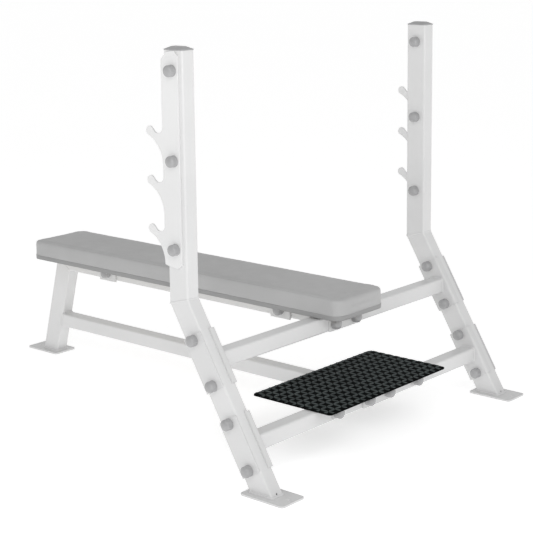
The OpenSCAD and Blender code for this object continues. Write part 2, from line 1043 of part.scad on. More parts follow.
left_post();
right_post();
left_leg();
right_leg();
left_foot_plate();
right_foot_plate();
rear_foot_plate();
left_post_cap();
right_post_cap();
left_hook_plate();
right_hook_plate();
upper_crossbar();
lower_crossbar();
upper_left_saddle();
upper_right_saddle();
lower_left_saddle();
lower_right_saddle();
upper_left_backing();
upper_right_backing();
lower_left_backing();
lower_right_backing();
bench_beam();
rear_leg();
stringer();
beam_end_plate();
stringer_end_plate();
upper_front_plate();
lower_front_plate();
head_pad_bracket();
foot_pad_bracket();
pad_board();
pad_cushion();
pad_screws();
pad_tee_nuts();
step_plate();
left_step_bracket();
right_step_bracket();
left_hook_bolts();
right_hook_bolts();
hook_washers();
hook_nuts();
left_hook_caps();
right_hook_caps();
left_leg_bolts();
right_leg_bolts();
left_leg_washers();
right_leg_washers();
left_leg_nuts();
right_leg_nuts();
left_leg_caps();
right_leg_caps();
crossbar_bolts();
crossbar_washers();
crossbar_nuts();
crossbar_caps();
pad_bracket_bolts();
pad_bracket_washers();
pad_bracket_nuts();
pad_bracket_caps();
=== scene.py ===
"""Olympic bench press: the looks of the bench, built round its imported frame.

Everything is in metres. +Z is up, +Y runs from the head end to the foot end, X is across the bench.
"""

import json
import logging
import math
from collections.abc import Callable, Sequence
from dataclasses import dataclass, field
from enum import Enum

import bmesh
import bpy
from mathutils import Matrix, Vector, noise


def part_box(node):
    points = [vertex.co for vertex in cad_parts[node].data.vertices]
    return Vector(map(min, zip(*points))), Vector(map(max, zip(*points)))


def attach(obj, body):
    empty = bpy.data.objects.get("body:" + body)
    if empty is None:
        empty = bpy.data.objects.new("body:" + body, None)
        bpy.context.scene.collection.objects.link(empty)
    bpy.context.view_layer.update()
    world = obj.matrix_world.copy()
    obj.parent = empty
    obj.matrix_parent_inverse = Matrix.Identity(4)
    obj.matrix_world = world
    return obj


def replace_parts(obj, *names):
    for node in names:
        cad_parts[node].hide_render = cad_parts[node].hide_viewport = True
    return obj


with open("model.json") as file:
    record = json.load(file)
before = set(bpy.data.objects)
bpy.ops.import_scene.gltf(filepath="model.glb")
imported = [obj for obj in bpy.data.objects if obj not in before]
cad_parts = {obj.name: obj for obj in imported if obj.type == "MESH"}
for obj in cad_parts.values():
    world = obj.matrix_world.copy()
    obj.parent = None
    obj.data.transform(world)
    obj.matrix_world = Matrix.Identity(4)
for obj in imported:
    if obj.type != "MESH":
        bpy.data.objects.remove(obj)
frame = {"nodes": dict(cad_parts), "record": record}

LOG = logging.getLogger("bench_press")
BODY = "root"
Colour = tuple[float, float, float]
SAME_POINT = 0.00002    # corners of a CAD mesh that lie closer than this are one point
NOISE_LOW, NOISE_HIGH = 0.3, 0.7    # nearly all of a noise texture's values lie between these


class Slot(Enum):
    """The record's material slots."""

    FRAME = "frame_paint"
    PLATE = "plate_paint"
    HOOK = "hook_paint"
    POST_CAP = "post_cap_plastic"
    BOLT_CAP = "bolt_cap_plastic"
    ZINC = "zinc"
    PLYWOOD = "plywood"
    PAD = "pad_cover"
    STEP = "step_paint"


class Axis(Enum):
    """The directions that a bolt cap can lie in."""

    X = 0
    Y = 1


# ---------- finishes ----------


class Graph:
    """Adds and joins the shader nodes of one material."""

    def __init__(self, name: str) -> None:
        """Starts an empty material with a Principled shader.

        Args:
            name: The material's name.
        """
        self.material = bpy.data.materials.new(name)
        self.material.use_nodes = True
        self.tree = self.material.node_tree
        self.tree.nodes.clear()
        self.output = self.tree.nodes.new("ShaderNodeOutputMaterial")
        self.shader = self.add("ShaderNodeBsdfPrincipled")
        self.join(self.shader, "BSDF", self.output, "Surface")
        self.place = self.add("ShaderNodeTexCoord")

    def add(self, kind: str, **inputs: object) -> bpy.types.Node:
        """Adds a node and sets its sockets.

        Args:
            kind: The node's type.
            **inputs: Socket values, by the socket's name with underscores for spaces.

        Returns:
            The new node.
        """
        node = self.tree.nodes.new(kind)
        for key, value in inputs.items():
            node.inputs[key.replace("_", " ")].default_value = value
        return node

    def join(self, source: bpy.types.Node, out: str, target: bpy.types.Node, into: str | int) -> None:
        """Links two sockets."""
        self.tree.links.new(source.outputs[out], target.inputs[into])

    def noise(self, scale: float, detail: float = 2.0, stretch: Colour | None = None) -> bpy.types.Node:
        """Adds a noise texture on Object coordinates.

        Args:
            scale: Waves per metre.
            detail: Octaves.
            stretch: Extra scale along each axis, or None for none.

        Returns:
            The noise node.
        """
        texture = self.add("ShaderNodeTexNoise", Scale=scale, Detail=detail)
        if stretch is None:
            self.join(self.place, "Object", texture, "Vector")
        else:
            mapping = self.add("ShaderNodeMapping", Scale=stretch)
            self.join(self.place, "Object", mapping, "Vector")
            self.join(mapping, "Vector", texture, "Vector")
        return texture

    def colours(self, source: bpy.types.Node, out: str,
                stops: Sequence[tuple[float, Colour]]) -> bpy.types.Node:
        """Adds a colour ramp after a texture.

        Args:
            source: The texture node.
            out: Its output.
            stops: Positions and colours.

        Returns:
            The ramp node.
        """
        ramp = self.add("ShaderNodeValToRGB")
        elements = ramp.color_ramp.elements
        while len(elements) < len(stops):
            elements.new(0.5)
        for element, (position, colour) in zip(elements, stops):
            element.position = position
            element.color = (*colour, 1.0)
        self.join(source, out, ramp, "Fac")
        return ramp

    def spread(self, source: bpy.types.Node, out: str, low: float, high: float) -> bpy.types.Node:
        """Maps a noise texture's usual values onto low to high.

        Args:
            source: The texture node.
            out: Its output.
            low: The least value wanted.
            high: The greatest value wanted.

        Returns:
            The map range node.
        """
        ranged = self.add("ShaderNodeMapRange")
        for key, value in (("From Min", NOISE_LOW), ("From Max", NOISE_HIGH),
                           ("To Min", low), ("To Max", high)):
            ranged.inputs[key].default_value = value
        self.join(source, out, ranged, "Value")
        return ranged

    def tint(self, source: bpy.types.Node, stops: Sequence[tuple[float, Colour]]) -> None:
        """Colours the shader by a noise texture.

        Args:
            source: The noise node.
            stops: Positions and colours.
        """
        ramp = self.colours(source, "Fac", stops)
        self.join(ramp, "Color", self.shader, "Base Color")

    def mottle(self, source: bpy.types.Node, colour: Colour, darker: float, lighter: float) -> None:
        """Varies the shader's colour a little by a noise texture.

        Args:
            source: The noise node.
            colour: The middle colour.
            darker: Share of it that is taken off at the darkest.
            lighter: Share of it that is added at the lightest.
        """
        self.tint(source, ((NOISE_LOW, shade(colour, 1 - darker)), (NOISE_HIGH, shade(colour, 1 + lighter))))

    def polish(self, source: bpy.types.Node, low: float, high: float) -> None:
        """Varies the shader's roughness by a noise texture.

        Args:
            source: The noise node.
            low: The least roughness.
            high: The greatest roughness.
        """
        self.join(self.spread(source, "Fac", low, high), "Result", self.shader, "Roughness")

    def bump(self, source: bpy.types.Node, out: str, strength: float, depth: float,
             under: bpy.types.Node | None = None) -> bpy.types.Node:
        """Adds a bump map.

        Args:
            source: The texture that gives the height.
            out: Its output.
            strength: How much of the bump is used.
            depth: Height of the bump in metres.
            under: A bump that this one lies on.

        Returns:
            The bump node.
        """
        node = self.add("ShaderNodeBump", Strength=strength, Distance=depth)
        self.join(source, out, node, "Height")
        if under is not None:
            self.join(under, "Normal", node, "Normal")
        self.join(node, "Normal", self.shader, "Normal")
        return node

    def set(self, **inputs: object) -> None:
        """Sets the Principled shader's own sockets."""
        for key, value in inputs.items():
            self.shader.inputs[key.replace("_", " ")].default_value = value


def shade(colour: Colour, factor: float) -> Colour:
    """Returns the colour made lighter or darker by a factor."""
    return tuple(min(1.0, c * factor) for c in colour)


@dataclass(frozen=True)
class PowderCoat:
    """Baked powder coat: a soft gloss over a fine orange peel, with a faint mottle."""

    name: str
    colour: Colour
    roughness: float = 0.38
    mottle: float = 0.02
    mottle_scale: float = 5.0
    gloss_scale: float = 38.0
    peel: float = 0.06
    peel_scale: float = 420.0
    peel_depth: float = 0.0004

    def build(self) -> bpy.types.Material:
        """Builds the material.

        Returns:
            The material.
        """
        graph = Graph(self.name)
        graph.mottle(graph.noise(self.mottle_scale, 3.0), self.colour, self.mottle, self.mottle)
        graph.polish(graph.noise(self.gloss_scale, 3.0), self.roughness - 0.05, self.roughness + 0.06)
        graph.bump(graph.noise(self.peel_scale, 1.5), "Fac", self.peel, self.peel_depth)
        graph.set(Specular_IOR_Level=0.4, Coat_Weight=0.5, Coat_Roughness=0.14)
        return graph.material


@dataclass(frozen=True)
class MouldedPlastic:
    """Moulded plastic with a satin skin and a fine spark-eroded grain."""

    name: str
    colour: Colour
    roughness: float = 0.34
    mottle: float = 0.05
    mottle_scale: float = 60.0
    gloss_scale: float = 120.0
    grain: float = 0.10
    grain_scale: float = 1600.0
    grain_depth: float = 0.0002

    def build(self) -> bpy.types.Material:
        """Builds the material.

        Returns:
            The material.
        """
        graph = Graph(self.name)
        graph.mottle(graph.noise(self.mottle_scale, 2.0), self.colour, self.mottle, self.mottle)
        graph.polish(graph.noise(self.gloss_scale, 2.0), self.roughness - 0.04, self.roughness + 0.06)
        graph.bump(graph.noise(self.grain_scale, 1.0), "Fac", self.grain, self.grain_depth)
        graph.set(Specular_IOR_Level=0.5, Coat_Weight=0.3, Coat_Roughness=0.1)
        return graph.material


@dataclass(frozen=True)
class ZincPlate:
    """Bright zinc plating, a little uneven in colour and polish."""

    name: str
    colour: Colour
    straw: Colour = (0.66, 0.64, 0.58)
    dull: float = 0.85
    cloud_scale: float = 90.0
    gloss_scale: float = 300.0
    roughness: tuple[float, float] = (0.24, 0.42)
    grain: float = 0.08
    grain_scale: float = 900.0
    grain_depth: float = 0.0002

    def build(self) -> bpy.types.Material:
        """Builds the material.

        Returns:
            The material.
        """
        graph = Graph(self.name)
        graph.tint(graph.noise(self.cloud_scale, 3.0), ((NOISE_LOW, shade(self.colour, self.dull)),
                                                       (0.5, self.colour), (NOISE_HIGH, self.straw)))
        graph.polish(graph.noise(self.gloss_scale, 2.0), *self.roughness)
        graph.bump(graph.noise(self.grain_scale, 1.0), "Fac", self.grain, self.grain_depth)
        graph.set(Metallic=1.0)
        return graph.material


@dataclass(frozen=True)
class Plywood:
    """Raw plywood with its grain along the bench."""

    name: str
    colour: Colour = (0.66, 0.62, 0.55)
    late_wood: Colour = (0.55, 0.50, 0.43)
    early_wood: Colour = (0.74, 0.71, 0.65)
    roughness: float = 0.72
    grain_stretch: Colour = (14.0, 0.7, 40.0)
    pore_stretch: Colour = (14.0, 0.8, 14.0)
    pores: float = 0.25
    pore_depth: float = 0.0005

    def build(self) -> bpy.types.Material:
        """Builds the material.

        Returns:
            The material.
        """
        graph = Graph(self.name)
        graph.tint(graph.noise(6.0, 6.0, self.grain_stretch), ((0.32, self.late_wood), (0.5, self.colour),
                                                              (0.68, self.early_wood)))
        graph.bump(graph.noise(40.0, 4.0, self.pore_stretch), "Fac", self.pores, self.pore_depth)
        graph.set(Roughness=self.roughness)
        return graph.material


@dataclass(frozen=True)
class Vinyl:
    """Upholstery vinyl: a pebbled leather grain with soft pores and a faint sheen."""

    name: str
    colour: Colour
    roughness: float = 0.5
    mottle: float = 0.035
    mottle_scale: float = 7.0
    gloss_scale: float = 24.0
    grain: float = 0.22
    grain_scale: float = 620.0
    grain_depth: float = 0.0006
    pore_scale: float = 2400.0
    pore_depth: float = 0.0002

    def build(self) -> bpy.types.Material:
        """Builds the material.

        Returns:
            The material.
        """
        graph = Graph(self.name)
        graph.mottle(graph.noise(self.mottle_scale, 4.0), self.colour, self.mottle, self.mottle)
        graph.polish(graph.noise(self.gloss_scale, 3.0), self.roughness - 0.05, self.roughness + 0.06)
        pebble = graph.add("ShaderNodeTexVoronoi", Scale=self.grain_scale, Randomness=1.0)
        graph.join(graph.place, "Object", pebble, "Vector")
        coarse = graph.bump(pebble, "Distance", self.grain, self.grain_depth)
        graph.bump(graph.noise(self.pore_scale, 2.0), "Fac", self.grain * 0.5, self.pore_depth, coarse)
        graph.set(Specular_IOR_Level=0.35, Sheen_Weight=0.08, Sheen_Roughness=0.5)
        return graph.material


@dataclass(frozen=True)
class TreadCoat:
    """Black textured coat on the tread plate, worn a little paler and smoother at random; the bars' paler
    copy is partly wear, partly painted highlight.
    """

    name: str
    low: Colour
    high: Colour
    roughness: float
    specular: float
    wear_scale: float = 34.0
    gloss_scale: float = 90.0
    grain: float = 0.30
    grain_scale: float = 800.0
    grain_depth: float = 0.0004

    def build(self) -> bpy.types.Material:
        """Builds the material.

        Returns:
            The material.
        """
        graph = Graph(self.name)
        graph.tint(graph.noise(self.wear_scale, 4.0), ((0.35, self.low), (0.65, self.high)))
        graph.polish(graph.noise(self.gloss_scale, 3.0), self.roughness - 0.08, self.roughness + 0.10)
        graph.bump(graph.noise(self.grain_scale, 2.0), "Fac", self.grain, self.grain_depth)
        graph.set(Specular_IOR_Level=self.specular)
        return graph.material


@dataclass(frozen=True)
class StudioFloor:
    """The pale floor of the studio."""

    name: str
    colour: Colour
    glow: float
    mottle: float = 0.005
    mottle_scale: float = 0.7

    def build(self) -> bpy.types.Material:
        """Builds the material.

        Returns:
            The material.
        """
        graph = Graph(self.name)
        graph.mottle(graph.noise(self.mottle_scale, 2.0), self.colour, self.mottle, 0.0)
        graph.set(Roughness=0.9, Specular_IOR_Level=0.1, Emission_Color=(1.0, 1.0, 1.0, 1.0),
                  Emission_Strength=self.glow)
        return graph.material


FINISHES = {
    Slot.FRAME: PowderCoat("frame_powder_coat", (0.715, 0.715, 0.715)),
    Slot.PLATE: PowderCoat("plate_powder_coat", (0.675, 0.675, 0.675)),
    Slot.HOOK: PowderCoat("hook_powder_coat", (0.775, 0.775, 0.775), roughness=0.40),
    Slot.POST_CAP: MouldedPlastic("post_cap_moulding", (0.36, 0.36, 0.365)),
    Slot.BOLT_CAP: MouldedPlastic("bolt_cap_moulding", (0.37, 0.37, 0.375), roughness=0.20),
    Slot.ZINC: ZincPlate("zinc_plate", (0.60, 0.61, 0.63)),
    Slot.PLYWOOD: Plywood("raw_plywood"),
    Slot.PAD: Vinyl("pad_vinyl", (0.45, 0.45, 0.45), roughness=0.44),
    Slot.STEP: TreadCoat("tread_field", (0.001, 0.0015, 0.0015), (0.003, 0.004, 0.004), 0.85, 0.04),
}
# The trim's vinyl is a darker copy of the pad's: painted shade for the shadowed band along the pad's lower
# edge.
TRIM_VINYL_PAINTED_SHADE = Vinyl("edge_trim_vinyl", (0.31, 0.31, 0.31), roughness=0.48, grain=0.12)
# The bars' coat is a paler, glossier copy of the field's: partly wear on the raised bars, partly painted
# highlight for the light that they catch.
TREAD_BARS_WEAR_AND_HIGHLIGHT = TreadCoat("tread_bars", (0.032, 0.041, 0.041), (0.060, 0.074, 0.073), 0.50, 0.14)


# ---------- making pieces ----------


def finish_piece(bm: bmesh.types.BMesh, name: str, finish: bpy.types.Material,
                 crease: float = 35.0) -> bpy.types.Object:
    """Makes a piece from a bmesh and puts it on the frame.

    Args:
        bm: The finished shape, which is freed.
        name: The piece's name.
        finish: Its material.
        crease: Edges sharper than this many degrees stay sharp.

    Returns:
        The piece.
    """
    bmesh.ops.recalc_face_normals(bm, faces=bm.faces)
    for face in bm.faces:
        face.smooth = True
    limit = math.radians(crease)
    for edge in bm.edges:
        edge.smooth = edge.calc_face_angle(0.0) < limit
    mesh = bpy.data.meshes.new(name)
    bm.to_mesh(mesh)
    bm.free()
    piece = bpy.data.objects.new(name, mesh)
    bpy.context.scene.collection.objects.link(piece)
    piece.data.materials.append(finish)
    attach(piece, BODY)
    LOG.info("%s: %d faces", name, len(mesh.polygons))
    return piece


@dataclass(frozen=True)
class Loop:
    """A closed path round a rounded rectangle that lies in any plane.

    Attributes:
        centre: The rectangle's middle.
        across: Unit direction of its width.
        along: Unit direction of its depth.
        width: Its size along across.
        depth: Its size along along.
        radius: Its corner radius.
    """

    centre: Vector
    across: Vector
    along: Vector
    width: float
    depth: float
    radius: float

    def stations(self, step: float) -> list[tuple[Vector, Vector, Vector]]:
        """Walks round the path.

        Args:
            step: The greatest distance between stations.

        Returns:
            For each station its point, its outward normal and its direction of travel.
        """
        flat_w, flat_d = self.width / 2 - self.radius, self.depth / 2 - self.radius
        corners = ((flat_w, flat_d, 0), (-flat_w, flat_d, 90),
                   (-flat_w, -flat_d, 180), (flat_w, -flat_d, 270))
        turns = max(3, math.ceil(self.radius * math.pi / 2 / step))
        found: list[tuple[Vector, Vector, Vector]] = []
        for index, (u, v, start) in enumerate(corners):
            for k in range(turns + 1):
                angle = math.radians(start + 90 * k / turns)
                normal = self.across * math.cos(angle) + self.along * math.sin(angle)
                travel = self.along * math.cos(angle) - self.across * math.sin(angle)
                point = self.centre + self.across * u + self.along * v + normal * self.radius
                found.append((point, normal, travel))
            nu, nv, _ = corners[(index + 1) % 4]
            last, normal, travel = found[-1]
            run = (self.across * (nu - u) + self.along * (nv - v)).length
            pieces = max(1, math.ceil(run / step))
            found += [(last + travel * (run * k / pieces), normal, travel) for k in range(1, pieces)]
        return found


def sweep(bm: bmesh.types.BMesh, stations: Sequence[tuple[Vector, Vector, Vector]],
          outline: Callable[[float, float], tuple[float, float]], segments: int,
          swell: Callable[[int], float] = lambda _: 1.0) -> None:
    """Carries a closed outline round a closed path, extruding it from station to station.

    Args:
        bm: The mesh that takes the shape.
        stations: The path's points, normals and directions of travel.
        outline: Gives the outline's place, outwards and sideways, for a direction's cosine and sine.
        segments: Points in the outline.
        swell: Gives the outline's scale at a station.
    """
    def posed(index: int) -> Matrix:
        """Gives the outline's place at a station.

        Args:
            index: The station's number.

        Returns:
            The matrix that carries the outline there.
        """
        point, normal, travel = stations[index]
        side = travel.cross(normal)
        size = swell(index)
        turned = Matrix((normal * size, side * size, travel * size)).transposed().to_4x4()
        return Matrix.Translation(point) @ turned

    ring = bmesh.ops.create_circle(bm, segments=segments, radius=1.0)["verts"]
    for vert in ring:
        vert.co = Vector((*outline(vert.co.x, vert.co.y), 0.0))
    bmesh.ops.transform(bm, matrix=posed(0), verts=ring)
    first = list(dict.fromkeys(edge for vert in ring for edge in vert.link_edges))
    edges = first
    for index in range(1, len(stations)):
        made = bmesh.ops.extrude_edge_only(bm, edges=edges)["geom"]
        verts = [item for item in made if isinstance(item, bmesh.types.BMVert)]
        edges = [e for e in made if isinstance(e, bmesh.types.BMEdge) and all(v in verts for v in e.verts)]
        bmesh.ops.transform(bm, matrix=posed(index) @ posed(index - 1).inverted(), verts=verts)
    bmesh.ops.bridge_loops(bm, edges=first + edges)


# ---------- the welded frame ----------


@dataclass
class FramePaint:
    """Dresses the CAD nodes, and breaks the edges of the cut plates."""

    edge: float = 0.0008
    flat_angle: float = 0.5
    edge_angle: float = 40.0
    plate_slots: tuple[Slot, ...] = (Slot.PLATE, Slot.HOOK)
    materials: dict[Slot, bpy.types.Material] = field(default_factory=dict)

    def build(self) -> None:
        """Builds every finish and gives each CAD node its own."""
        self.materials = {slot: finish.build() for slot, finish in FINISHES.items()}
        for part in frame["record"]["subparts"]:
            slot = Slot(part["material_slot"])
            node = frame["nodes"][part["node"]]
            node.data.materials.clear()
            node.data.materials.append(self.materials[slot])
            if slot in self.plate_slots:
                self.break_edges(node)
        LOG.info("dressed %d CAD nodes", len(frame["nodes"]))

    def break_edges(self, node: bpy.types.Object) -> None:
        """Adds the small round that cutting and painting leave on a plate's edges.

        Args:
            node: The plate's CAD node.
        """
        weld = node.modifiers.new("join", "WELD")
        weld.merge_threshold = SAME_POINT
        flat = node.modifiers.new("flats", "DECIMATE")
        flat.decimate_type = "DISSOLVE"
        flat.angle_limit = math.radians(self.flat_angle)
        bevel = node.modifiers.new("edge", "BEVEL")
        bevel.width = self.edge
        bevel.segments = 2
        bevel.limit_method = "ANGLE"
        bevel.angle_limit = math.radians(self.edge_angle)
        bevel.use_clamp_overlap = True


@dataclass
class WeldBeads:
    """The weld seams of the frame, each a rippled bead round the end of a tube.

    A bead's size is how far it stands out from the tube, and half its width on the tube.
    """

    paint: bpy.types.Material
    mitre_size: tuple[float, float] = (0.0014, 0.0038)
    foot_size: tuple[float, float] = (0.0042, 0.0042)
    end_size: tuple[float, float] = (0.0036, 0.0036)
    tube_radius: float = 0.006
    ripple: float = 0.0032
    ripple_depth: float = 0.16
    points_per_ripple: int = 4
    outline_points: int = 10
    wander_scale: float = 55.0
    wander_share: float = 0.35
    swell_share: float = 0.12

    def bead(self, name: str, loop: Loop, size: tuple[float, float]) -> None:
        """Lays one bead.

        Args:
            name: The piece's name.
            loop: The path round the tube.
            size: The bead's rise and half width.
        """
        rise, spread = size
        bm = bmesh.new()
        stations = loop.stations(self.ripple / self.points_per_ripple)
        wander = [noise.noise(point * self.wander_scale) for point, _, _ in stations]
        moved = [(point + travel.cross(normal) * (wander[i] * spread * self.wander_share), normal, travel)
                 for i, (point, normal, travel) in enumerate(stations)]

        def swell(index: int) -> float:
            """Gives the bead's scale at a station.

            Args:
                index: The station's number.

            Returns:
                The scale.
            """
            phase = (index % self.points_per_ripple) / self.points_per_ripple
            return 1.0 - self.ripple_depth * phase + self.swell_share * wander[index]

        sweep(bm, moved, lambda c, s: (c * rise, s * spread), self.outline_points, swell)
        finish_piece(bm, name, self.paint, crease=60.0)

    def build(self) -> None:
        """Lays every bead of the frame."""
        x_axis, y_axis, z_axis = Vector((1, 0, 0)), Vector((0, 1, 0)), Vector((0, 0, 1))
        for side in ("left", "right"):
            post_lo, post_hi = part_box(f"{side}_post")
            leg_lo, leg_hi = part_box(f"{side}_leg")
            foot_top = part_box(f"{side}_foot_plate")[1].z
            width, depth = post_hi.x - post_lo.x, post_hi.y - post_lo.y
            mid = (post_lo + post_hi) / 2
            mitre = Vector((0, depth, post_lo.z - leg_hi.z))
            bend = Vector((mid.x, mid.y, (post_lo.z + leg_hi.z) / 2))
            self.bead(f"{side}_post_weld", Loop(bend, x_axis, mitre.normalized(), width, mitre.length,
                                                self.tube_radius), self.mitre_size)
            lean = 2 * math.atan2(-mitre.z, mitre.y)
            print_d = depth / math.cos(lean)
            base = Vector((mid.x, leg_lo.y + print_d / 2, foot_top))
            self.bead(f"{side}_foot_weld", Loop(base, x_axis, y_axis, width, print_d, self.tube_radius),
                      self.foot_size)
        self.rear_beads(x_axis, y_axis)
        for name in ("upper", "lower"):
            lo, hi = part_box(f"{name}_crossbar")
            for side, x in (("left", lo.x), ("right", hi.x)):
                end = Vector((x, (lo.y + hi.y) / 2, (lo.z + hi.z) / 2))
                path = Loop(end, y_axis, z_axis, hi.y - lo.y, hi.z - lo.z, self.tube_radius)
                self.bead(f"{name}_{side}_crossbar_weld", path, self.end_size)
        for name in ("bench_beam", "stringer"):
            lo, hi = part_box(name)
            end = Vector(((lo.x + hi.x) / 2, lo.y, (lo.z + hi.z) / 2))
            self.bead(f"{name}_head_weld",
                      Loop(end, x_axis, z_axis, hi.x - lo.x, hi.z - lo.z, self.tube_radius), self.end_size)

    def rear_beads(self, x_axis: Vector, y_axis: Vector) -> None:
        """Lays the beads of the rear leg.

        Args:
            x_axis: The direction across the bench.
            y_axis: The direction along the bench.
        """
        beam_lo, beam_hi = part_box("bench_beam")
        leg_lo, leg_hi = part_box("rear_leg")
        width = beam_hi.x - beam_lo.x
        inner = Vector((0, leg_lo.y, beam_lo.z))
        outer = Vector((0, beam_hi.y, beam_hi.z))
        run = outer - inner
        self.bead("rear_leg_weld", Loop((inner + outer) / 2, x_axis, run.normalized(), width, run.length,
                                        self.tube_radius), self.mitre_size)
        foot_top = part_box("rear_foot_plate")[1].z
        slope = (leg_hi.y - beam_hi.y) / (beam_hi.z - foot_top)
        print_d = leg_hi.y - (leg_lo.y + slope * (beam_lo.z - foot_top))
        base = Vector((0, leg_hi.y - print_d / 2, foot_top))
        self.bead("rear_foot_weld", Loop(base, x_axis, y_axis, width, print_d, self.tube_radius),
                  self.foot_size)
        bar_lo, bar_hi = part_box("stringer")
        high = bar_hi.z - bar_lo.z
        up = Vector((0, -slope, 1))
        end = Vector((0, bar_hi.y - slope * high / 2, (bar_lo.z + bar_hi.z) / 2))
        self.bead("stringer_foot_weld", Loop(end, x_axis, up.normalized(), width, high * up.length,
                                             self.tube_radius), self.end_size)


@dataclass
class BoltCaps:
    """Smooth moulded caps over the bolt heads and nuts."""

    plastic: bpy.types.Material
    nodes: tuple[str, ...] = ("left_hook_caps", "right_hook_caps", "left_leg_caps", "right_leg_caps",
                              "crossbar_caps", "pad_bracket_caps")
    turns: int = 40
    flange: float = 0.0018
    groove: float = 0.0005
    skirt: float = 0.016
    dome_steps: int = 9
    wall: float = 0.002
    soft: float = 0.0004
    end_share: float = 0.02
    open_share: float = 0.3

    def seats(self, node: str) -> list[tuple[Vector, Vector, float, float]]:
        """Finds each cap of a CAD node.

        Args:
            node: The node's name.

        Returns:
            For each cap the middle of its base, its direction, its radius and its height.
        """
        bm = bmesh.new()
        bm.from_mesh(frame["nodes"][node].data)
        bmesh.ops.remove_doubles(bm, verts=bm.verts, dist=SAME_POINT)
        found: list[tuple[Vector, Vector, float, float]] = []
        for seed in bm.verts:
            if seed.tag:
                continue
            seed.tag = True
            stack, island = [seed], []
            while stack:
                vert = stack.pop()
                island.append(vert.co.copy())
                for near in (edge.other_vert(vert) for edge in vert.link_edges):
                    if not near.tag:
                        near.tag = True
                        stack.append(near)
            low = Vector([min(co[i] for co in island) for i in range(3)])
            high = Vector([max(co[i] for co in island) for i in range(3)])
            axis = Axis.X if high.x - low.x < high.y - low.y else Axis.Y
            mid = (low + high) / 2
            tall = high[axis.value] - low[axis.value]
            ends = [co for co in island if abs(co[axis.value] - low[axis.value]) < tall * self.end_share]
            wide = max(abs(co.z - mid.z) for co in ends)
            direction = Vector((0, 0, 0))
            direction[axis.value] = 1.0 if wide > tall * self.open_share else -1.0
            base = mid.copy()
            base[axis.value] = low[axis.value] if direction[axis.value] > 0 else high[axis.value]
            found.append((base, direction, (high.z - low.z) / 2, tall))
        bm.free()
        return found

    def profile(self, radius: float, tall: float) -> list[tuple[float, float]]:
        """Gives a cap's half outline, inside and out.

        Args:
            radius: The cap's radius.
            tall: The cap's height.

        Returns:
            Distances from the axis and heights, from the middle of the hollow to the middle of the dome.
        """
        skin = radius - self.groove
        inner = skin - self.wall
        angles = [math.radians(90 * k / self.dome_steps) for k in range(1, self.dome_steps)]
        rise = tall - self.skirt
        hollow = [(inner * math.cos(a), self.skirt + (rise - self.wall) * math.sin(a))
                  for a in reversed(angles)]
        dome = [(skin * math.cos(a), self.skirt + rise * math.sin(a)) for a in angles]
        foot = [(inner, self.skirt), (inner, 0.0), (radius - self.soft, 0.0), (radius, self.soft),
                (radius, self.flange), (skin, self.flange + self.soft), (skin, self.skirt)]
        return [(0.0, tall - self.wall)] + hollow + foot + dome + [(0.0, tall)]

    def build(self) -> None:
        """Makes the caps of every node."""
        for node in self.nodes:
            bm = bmesh.new()
            for base, direction, radius, tall in self.seats(node):
                verts = [bm.verts.new((r, 0.0, h)) for r, h in self.profile(radius, tall)]
                edges = [bm.edges.new(pair) for pair in zip(verts, verts[1:])]
                bmesh.ops.spin(bm, geom=verts + edges, cent=(0, 0, 0), axis=(0, 0, 1),
                               angle=2 * math.pi, steps=self.turns, use_merge=True)
                fresh = [v for v in bm.verts if not v.tag]
                bmesh.ops.transform(bm, matrix=Matrix.Translation(base)
                                    @ direction.to_track_quat("Z", "Y").to_matrix().to_4x4(), verts=fresh)
                for vert in fresh:
                    vert.tag = True
            bmesh.ops.remove_doubles(bm, verts=bm.verts, dist=0.00001)
            piece = finish_piece(bm, node.replace("_caps", "_bolt_caps"), self.plastic)
            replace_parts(piece, node)


# ---------- the step ----------


